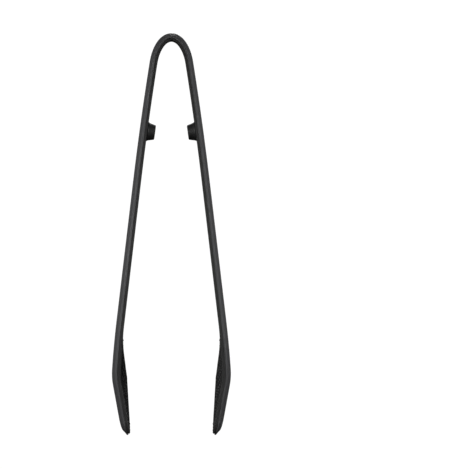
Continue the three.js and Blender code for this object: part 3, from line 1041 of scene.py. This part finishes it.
# %% Stud rubber
def stud_rubber():
    finish = Finish("stud_rubber")
    place = finish.node("ShaderNodeTexCoord", output="Object")
    grain = finish.noise(place, 1500.0, 2.0, 0.6)
    cloud = finish.noise(place, 160.0, 3.0, 0.6)
    worn = ((cloud - 0.45) * 2.5).held()
    colour = finish.mix(worn, grey(0.026), grey(0.050))
    rough = 0.62 - worn * 0.14 + grain * 0.08
    normal = finish.bump(grain, 0.00004, 0.35)
    return finish.surface(Base_Color=colour, Roughness=rough, Normal=normal, IOR=1.42)


stud_finish = stud_rubber()

# %% [markdown]
# ### Spring steel
# Rolled strip has fine lines along its length, so one noise is stretched hard along s. They change
# the roughness and tilt the surface, and the edges are a little darker where it was slit.


# %% Spring steel
def spring_steel():
    finish = Finish("rolled_steel")
    place = finish.strip_place()
    edge = finish.from_edge()
    lines = finish.noise(finish.stretched(place, (0.03, 9.0, 9.0)), 1.0, 3.0, 0.6)
    bloom = finish.noise(place, 0.15, 3.0, 0.5)
    slit = (1.0 - edge / 0.5).held() * 0.6
    bright = finish.mix(lines, grey(0.48, 1.03), grey(0.63, 1.02))
    colour = finish.mix((slit + bloom * 0.25).held(), bright, (0.36, 0.34, 0.33, 1.0))
    rough = 0.24 + lines * 0.2 + slit * 0.1
    normal = finish.bump(lines, 0.00002, 0.3)
    return finish.surface(Base_Color=colour, Roughness=rough, Normal=normal, Metallic=1.0)


steel = spring_steel()
print("finishes:", ", ".join(m.name for m in bpy.data.materials if m.use_nodes))

# %% [markdown]
# ## Dress the pieces and lay the studs
# Each piece takes one finish. The studs come last, because their tree sets their finish itself.

# %% Dress the pieces
for group, material in (
    (shells, nylon),
    (liners, liner_rubber),
    (pads, pad_rubber),
    (bosses, boss_rubber),
    (springs, steel),
):
    for piece in group.values():
        piece.data.materials.append(material)

tree = stud_tree(stud_finish)
studs = {}
for side_name, side in SIDES.items():
    carrier = stud_carrier(f"{side_name}_pad", side)
    studs[side_name] = laid_studs(f"{side_name}_grip_studs", carrier, tree)

# %% [markdown]
# ## Join the pieces to the frame
# The real bow is one bent spring, and the frame has a hinge on each side of a short crown in its
# place. The shell, the liner and the spring strip cross that hinge; each half of them is baked in
# place as it was built, and the frame's pieces that it replaces are hidden. The pads, the studs and
# the bosses are well down the arms and simply ride on them.

# %% Join to the frame
for side_name, side in SIDES.items():
    arm = f"{side_name}_arm"
    for group, slot, nodes in (
        (shells, "nylon", ("crown_cover", f"{arm}_shell")),
        (liners, "soft_grip", ("crown_liner", f"{arm}_liner")),
        (springs, "spring_steel", ("crown_spring", f"{side_name}_spring_leaf")),
    ):
        piece = group[side_name]
        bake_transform(piece)
        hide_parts(*nodes)
    for group in (pads, studs):
        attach(group[side_name], arm)
        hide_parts(f"{side_name}_grip_pad")
    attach(bosses[side_name], arm)
    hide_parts(f"{side_name}_stop_boss")

# %% [markdown]
# ## Lamps
# The tongs hang in front of a clean pale sweep. A soft round lamp in front lights the edges and
# chamfers that face the camera, one on each side does the same for an arm's outer face, and a
# weaker one behind is set high. A spot lamp falls off away from the place that it is aimed at, which
# gives a long black object its slow change of tone. The side lamps are aimed at the middle of the
# arms and the other two lower down.


# %% Lamps
SIDE_AIM, LOWER_AIM = (0.0, 0.0, -0.115), (0.0, 0.0, -0.215)
LAMP_RADIUS = 0.22


def lamp(name, place, aim, power, spread):
    data = bpy.data.lights.new(name, "SPOT")
    data.energy, data.shadow_soft_size = power, LAMP_RADIUS
    data.spot_size, data.spot_blend = math.radians(spread), 1.0
    made = new_object(name, data)
    made.location = place
    made.rotation_euler = (Vector(aim) - Vector(place)).to_track_quat("-Z", "Y").to_euler()
    print(f"{name}: {power:.0f} W over {spread:.0f} degrees")


lamp("front_lamp", (-0.15, -1.25, 0.02), LOWER_AIM, power=92.0, spread=19.0)
lamp("right_lamp", (1.25, -0.3, 0.02), SIDE_AIM, power=74.0, spread=17.0)
lamp("left_lamp", (-1.25, -0.3, 0.02), SIDE_AIM, power=74.0, spread=17.0)
lamp("back_lamp", (0.1, 1.1, 0.75), LOWER_AIM, power=27.0, spread=30.0)

# %% [markdown]
# ## Room
# The room is bright to the eye, and dim as a light, darkest below, so that black nylon keeps its
# shape. The Light Path node tells the two apart.


# %% Room
def studio_room():
    world = bpy.data.worlds.new("studio_room")
    world.use_nodes = True
    room = Nodes(world.node_tree)
    place = room.node("ShaderNodeTexCoord", output="Generated")
    height = room.node("ShaderNodeSeparateXYZ", {}, {0: place}, output="Z")
    from_to = {"From Min": -0.7, "From Max": 0.6, "To Min": 0.02, "To Max": 0.20}
    settings = {"interpolation_type": "SMOOTHSTEP"}
    rise = room.node("ShaderNodeMapRange", settings, {"Value": height, **from_to})
    lit = room.node("ShaderNodeBackground", {}, {"Color": grey(1.0), "Strength": rise})
    seen = room.node("ShaderNodeBackground", {}, {"Color": grey(1.0), "Strength": 1.05})
    eye = room.node("ShaderNodeLightPath", output="Is Camera Ray")
    mixed = room.node("ShaderNodeMixShader", {}, {0: eye, 1: lit, 2: seen})
    room.node("ShaderNodeOutputWorld", {}, {"Surface": mixed})
    bpy.context.scene.world = world
    print(f"{world.name}: {len(world.node_tree.nodes)} nodes")


studio_room()

# %% [markdown]
# ## Floor
# A plain pale disc lies below the tongs. It glows a little, so that it stays as pale as the room
# behind it, and only the camera sees it: it doesn't throw its light back up at the tongs.


# %% Floor
FLOOR_RADIUS, FLOOR_HEIGHT, FLOOR_SIDES = 3.0, -0.62, 96


def pale_floor():
    finish = Finish("pale_floor")
    place = finish.node("ShaderNodeTexCoord", output="Object")
    colour = finish.mix(finish.noise(place, 3.0, 4.0), grey(0.80), grey(0.86))
    glow = {"Emission_Color": grey(1.0), "Emission_Strength": 0.82}
    material = finish.surface(Base_Color=colour, Roughness=0.85, **glow)
    turns = np.linspace(0, 2 * math.pi, FLOOR_SIDES, endpoint=False)
    height = np.full(FLOOR_SIDES, FLOOR_HEIGHT)
    rim = np.column_stack([FLOOR_RADIUS * np.cos(turns), FLOOR_RADIUS * np.sin(turns), height])
    mesh = new_mesh("floor", rim, [range(FLOOR_SIDES)])
    mesh.materials.append(material)
    floor = new_object("floor", mesh)
    floor.visible_diffuse = floor.visible_glossy = False
    floor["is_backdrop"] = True
    print(f"floor: {2 * FLOOR_RADIUS:.0f} m across, {-FLOOR_HEIGHT} m down")


pale_floor()

# %% [markdown]
# ## Camera
# A long lens from straight in front, level with the middle of the tongs, keeps the two arms equal.
# The frame is shifted sideways, not turned, so the tongs stand left of the middle of it and are
# still seen square on.

# %% Camera
CAMERA_AWAY, MIDDLE_HEIGHT = 2.2, -0.1395
camera_data = bpy.data.cameras.new("camera")
camera_data.sensor_width, camera_data.lens = 36.0, 234.0
camera_data.shift_x = 0.1345
camera_data.clip_start, camera_data.clip_end = 0.05, 20.0
camera = new_object("camera", camera_data)
camera.location = (0.0, -CAMERA_AWAY, MIDDLE_HEIGHT)
camera.rotation_euler = (math.pi / 2, 0, 0)
bpy.context.scene.camera = camera
bpy.context.scene.view_settings.view_transform = "Standard"
print(f"camera: {camera_data.lens:.0f} mm lens, {CAMERA_AWAY} m away")

# %% [markdown]
# ## Measure and finish
# The finished tongs must stay inside the frame's own box, so both boxes are written side by side.

# %% Measure and finish
low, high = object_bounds()
sizes = {
    "cad": [list(cad_low), list(cad_high)],
    "visual": [list(low), list(high)],
}
for name, (lowest, highest) in sizes.items():
    print(name, [round((b - a) * 1000, 2) for a, b in zip(lowest, highest)], "mm")
